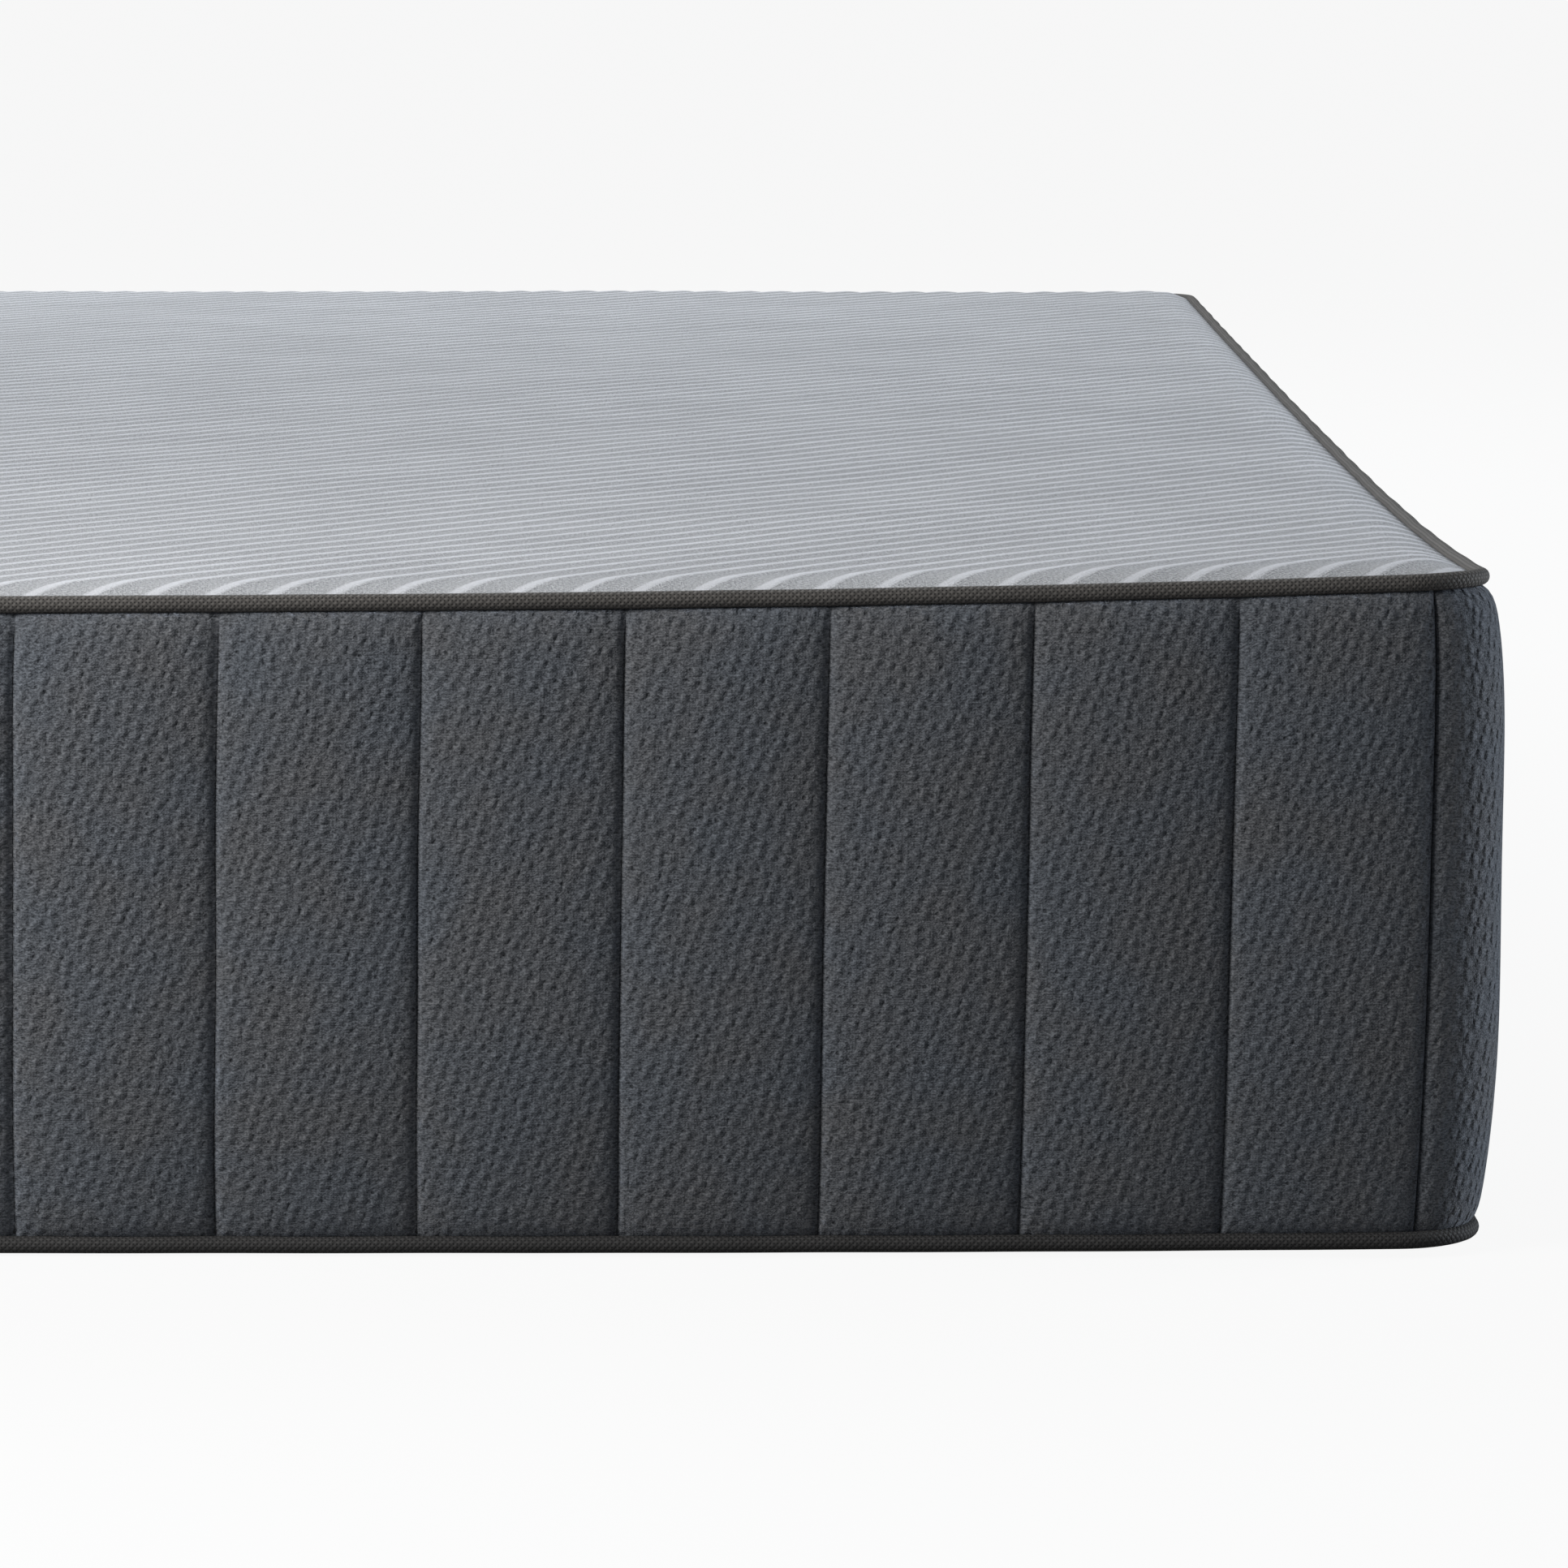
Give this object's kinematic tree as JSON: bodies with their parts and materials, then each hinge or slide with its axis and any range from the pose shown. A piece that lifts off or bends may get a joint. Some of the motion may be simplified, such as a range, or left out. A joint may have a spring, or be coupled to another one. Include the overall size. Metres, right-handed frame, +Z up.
{
  "type": "foam mattress",
  "caption": "Memory foam mattress with a pale ribbed knit top, a dark channel-quilted border, corded piping at both edges and a zipped cover over layered foam.",
  "frame": {"origin": "on the floor, under the middle of the mattress", "axes": "+Z up; +Y along the length, from the foot end to the head end; +X across the width, to the right seen from the foot end"},
  "size_m": [1.5236, 2.0318, 0.254],
  "materials": {
    "top_knit": "matte",
    "border_knit": "matte",
    "wadding": "matte",
    "backing": "matte",
    "border_thread": "satin",
    "piping_tape": "matte",
    "filler_cord": "matte",
    "bottom_cloth": "matte",
    "zip_tape": "matte",
    "zip_coil": "satin",
    "zip_metal": "satin",
    "label_cloth": "satin",
    "sock_knit": "matte",
    "gel_foam": "matte",
    "transition_foam": "matte",
    "base_foam": "matte"
  },
  "bodies": {
    "mattress": {"top_panel": "top_knit", "border_fabric": "border_knit", "border_wadding": "wadding", "border_backing": "backing", "channel_stitching": "border_thread", "upper_piping_tape": "piping_tape", "upper_piping_cord": "filler_cord", "lower_piping_tape": "piping_tape", "lower_piping_cord": "filler_cord", "bottom_panel": "bottom_cloth", "zip_upper_tape": "zip_tape", "zip_lower_tape": "zip_tape", "zip_upper_teeth": "zip_coil", "zip_lower_teeth": "zip_coil", "zip_top_stop": "zip_metal", "zip_bottom_stop": "zip_metal", "care_label": "label_cloth", "fire_sock": "sock_knit", "gel_foam": "gel_foam", "transition_foam": "transition_foam", "base_foam": "base_foam"},
    "zip_slider": {"zip_slider": "zip_metal"},
    "zip_pull_tab": {"zip_pull_tab": "zip_metal"}
  },
  "joints": [
    {"name": "zip_travel", "type": "slide", "parent": "mattress", "child": "zip_slider", "axis": [1, 0, 0], "range_m": [-1.371, 0]},
    {"name": "pull_tab_flip", "type": "hinge", "parent": "zip_slider", "child": "zip_pull_tab", "pos_m": [0.68565, 1.01323, 0.03], "axis": [0, 0, -1], "range_deg": [0, 180]}
  ]
}
